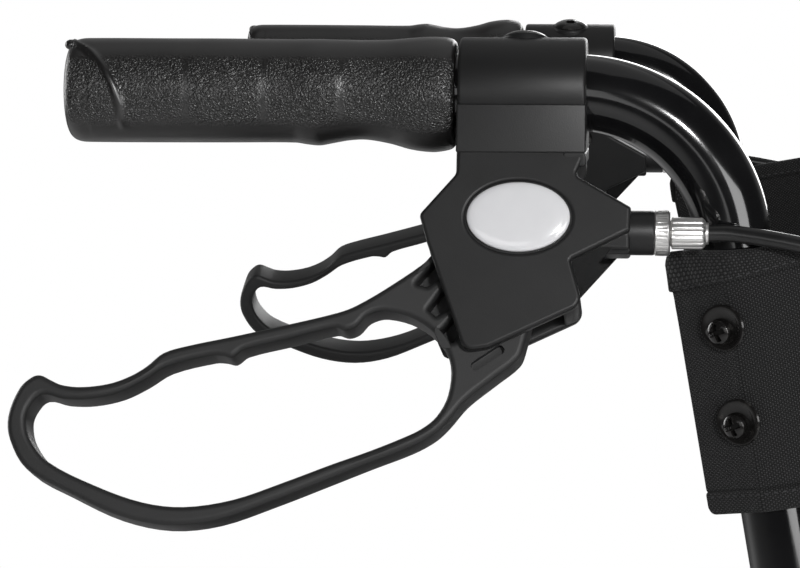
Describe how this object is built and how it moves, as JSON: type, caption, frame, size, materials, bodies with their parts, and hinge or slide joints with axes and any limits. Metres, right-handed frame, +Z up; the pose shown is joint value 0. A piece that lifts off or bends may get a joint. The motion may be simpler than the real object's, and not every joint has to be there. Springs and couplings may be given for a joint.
{
  "type": "outdoor rollator",
  "caption": "Folding four-wheeled walking aid with seat, bowed back strap, height-adjustable handles, loop brake levers and a front bag.",
  "frame": {"origin": "on the floor, in the middle of the footprint", "axes": "+X the way it is pushed, +Y to the user's left, +Z up"},
  "size_m": [0.64, 0.5672, 0.9197],
  "materials": {
    "gloss_black_paint": "gloss black paint",
    "grip_vinyl": "matt pebbled black",
    "moulded_black": "satin moulded black",
    "zinc": "bright zinc plate",
    "black_steel": "gloss black",
    "white_badge": "gloss white",
    "black_fabric": "coarse black weave",
    "satin_black": "satin black",
    "tyre_black": "matt black",
    "cable_black": "satin black sleeve"
  },
  "bodies": {
    "front_frame": {"front_frame": "gloss_black_paint", "height_collar_right": "satin_black", "height_collar_left": "satin_black", "fold_bolt_right": "zinc", "fold_bolt_left": "zinc", "bag": "black_fabric"},
    "rear_frame": {"rear_frame": "gloss_black_paint", "rear_axle_right": "zinc", "rear_axle_left": "zinc", "brake_arm_pin_right": "zinc", "brake_arm_pin_left": "zinc", "lower_cable_right": "cable_black", "lower_cable_left": "cable_black"},
    "seat": {"seat_board": "satin_black", "seat_cushion": "black_fabric"},
    "handlebar": {"handle_tube_right": "gloss_black_paint", "handle_tube_left": "gloss_black_paint", "grip_right": "grip_vinyl", "grip_left": "grip_vinyl", "brake_housing_right": "moulded_black", "brake_housing_left": "moulded_black", "badge_right": "white_badge", "badge_left": "white_badge", "lever_pin_right": "black_steel", "lever_pin_left": "black_steel", "clamp_screw_right": "black_steel", "clamp_screw_left": "black_steel", "cable_lock_ring_right": "zinc", "cable_lock_ring_left": "zinc", "strap_screw_upper_right": "black_steel", "strap_screw_upper_left": "black_steel", "strap_screw_lower_right": "black_steel", "strap_screw_lower_left": "black_steel", "back_strap": "black_fabric", "upper_cable_right": "cable_black", "upper_cable_left": "cable_black"},
    "brake_lever_right": {"brake_lever_right": "moulded_black"},
    "barrel_adjuster_right": {"barrel_adjuster_right": "zinc"},
    "height_knob_right": {"height_knob_right": "satin_black"},
    "brake_arm_right": {"brake_arm_right": "black_steel"},
    "fork_right": {"fork_right": "moulded_black", "front_axle_right": "zinc"},
    "front_wheel_right": {"front_rim_right": "satin_black", "front_tyre_right": "tyre_black"},
    "rear_wheel_right": {"rear_rim_right": "satin_black", "rear_tyre_right": "tyre_black"},
    "brake_lever_left": {"brake_lever_left": "moulded_black"},
    "barrel_adjuster_left": {"barrel_adjuster_left": "zinc"},
    "height_knob_left": {"height_knob_left": "satin_black"},
    "brake_arm_left": {"brake_arm_left": "black_steel"},
    "fork_left": {"fork_left": "moulded_black", "front_axle_left": "zinc"},
    "front_wheel_left": {"front_rim_left": "satin_black", "front_tyre_left": "tyre_black"},
    "rear_wheel_left": {"rear_rim_left": "satin_black", "rear_tyre_left": "tyre_black"}
  },
  "joints": [
    {"name": "fold", "type": "hinge", "parent": "front_frame", "child": "rear_frame", "pos_m": [0.14943, 0, 0.49], "axis": [0, -1, 0], "range_deg": [0, 26], "deforming": ["lower_cable_right", "lower_cable_left"]},
    {"name": "seat_flip", "type": "hinge", "parent": "rear_frame", "child": "seat", "pos_m": [0.12003, 0, 0.49], "axis": [0, 1, 0], "range_deg": [0, 60]},
    {"name": "handle_height", "type": "slide", "parent": "front_frame", "child": "handlebar", "axis": [-0.1736, 0, 0.9848], "range_m": [-0.05, 0.05], "deforming": ["upper_cable_right", "upper_cable_left"]},
    {"name": "lever_right", "type": "hinge", "parent": "handlebar", "child": "brake_lever_right", "pos_m": [0.02124, -0.24026, 0.86842], "axis": [0, 0.9511, -0.309], "range_deg": [-10, 22], "stiffness_Nm_per_rad": 1},
    {"name": "barrel_right", "type": "hinge", "parent": "handlebar", "child": "barrel_adjuster_right", "pos_m": [0.07, -0.24784, 0.85479], "axis": [1, 0, 0], "continuous": true},
    {"name": "knob_right", "type": "hinge", "parent": "front_frame", "child": "height_knob_right", "pos_m": [0.11587, -0.262, 0.6803], "axis": [0, 1, 0], "continuous": true},
    {"name": "brake_arm_right", "type": "hinge", "parent": "rear_frame", "child": "brake_arm_right", "pos_m": [-0.17938, -0.2115, 0.232], "axis": [0, -1, 0], "range_deg": [-1.3, 3.1], "deforming": ["lower_cable_right"]},
    {"name": "swivel_right", "type": "hinge", "parent": "front_frame", "child": "fork_right", "pos_m": [0.262, -0.23, 0.25], "axis": [0, 0, 1], "continuous": true},
    {"name": "front_roll_right", "type": "hinge", "parent": "fork_right", "child": "front_wheel_right", "pos_m": [0.22, -0.23, 0.1], "axis": [0, 1, 0], "continuous": true},
    {"name": "rear_roll_right", "type": "hinge", "parent": "rear_frame", "child": "rear_wheel_right", "pos_m": [-0.22, -0.242, 0.1], "axis": [0, 1, 0], "continuous": true},
    {"name": "lever_left", "type": "hinge", "parent": "handlebar", "child": "brake_lever_left", "pos_m": [0.02124, 0.24026, 0.86842], "axis": [0, 0.9511, 0.309], "range_deg": [-7, 25], "stiffness_Nm_per_rad": 1},
    {"name": "barrel_left", "type": "hinge", "parent": "handlebar", "child": "barrel_adjuster_left", "pos_m": [0.07, 0.24784, 0.85479], "axis": [1, 0, 0], "continuous": true},
    {"name": "knob_left", "type": "hinge", "parent": "front_frame", "child": "height_knob_left", "pos_m": [0.11587, 0.262, 0.6803], "axis": [0, 1, 0], "continuous": true},
    {"name": "brake_arm_left", "type": "hinge", "parent": "rear_frame", "child": "brake_arm_left", "pos_m": [-0.17938, 0.2115, 0.232], "axis": [0, -1, 0], "range_deg": [-1.3, 3.1], "deforming": ["lower_cable_left"]},
    {"name": "swivel_left", "type": "hinge", "parent": "front_frame", "child": "fork_left", "pos_m": [0.262, 0.23, 0.25], "axis": [0, 0, 1], "continuous": true},
    {"name": "front_roll_left", "type": "hinge", "parent": "fork_left", "child": "front_wheel_left", "pos_m": [0.22, 0.23, 0.1], "axis": [0, 1, 0], "continuous": true},
    {"name": "rear_roll_left", "type": "hinge", "parent": "rear_frame", "child": "rear_wheel_left", "pos_m": [-0.22, 0.242, 0.1], "axis": [0, 1, 0], "continuous": true}
  ],
  "couplings": [
    {"joint": "brake_arm_right", "follows": "lever_right", "ratio": 0.12},
    {"joint": "brake_arm_left", "follows": "lever_left", "ratio": 0.12}
  ]
}
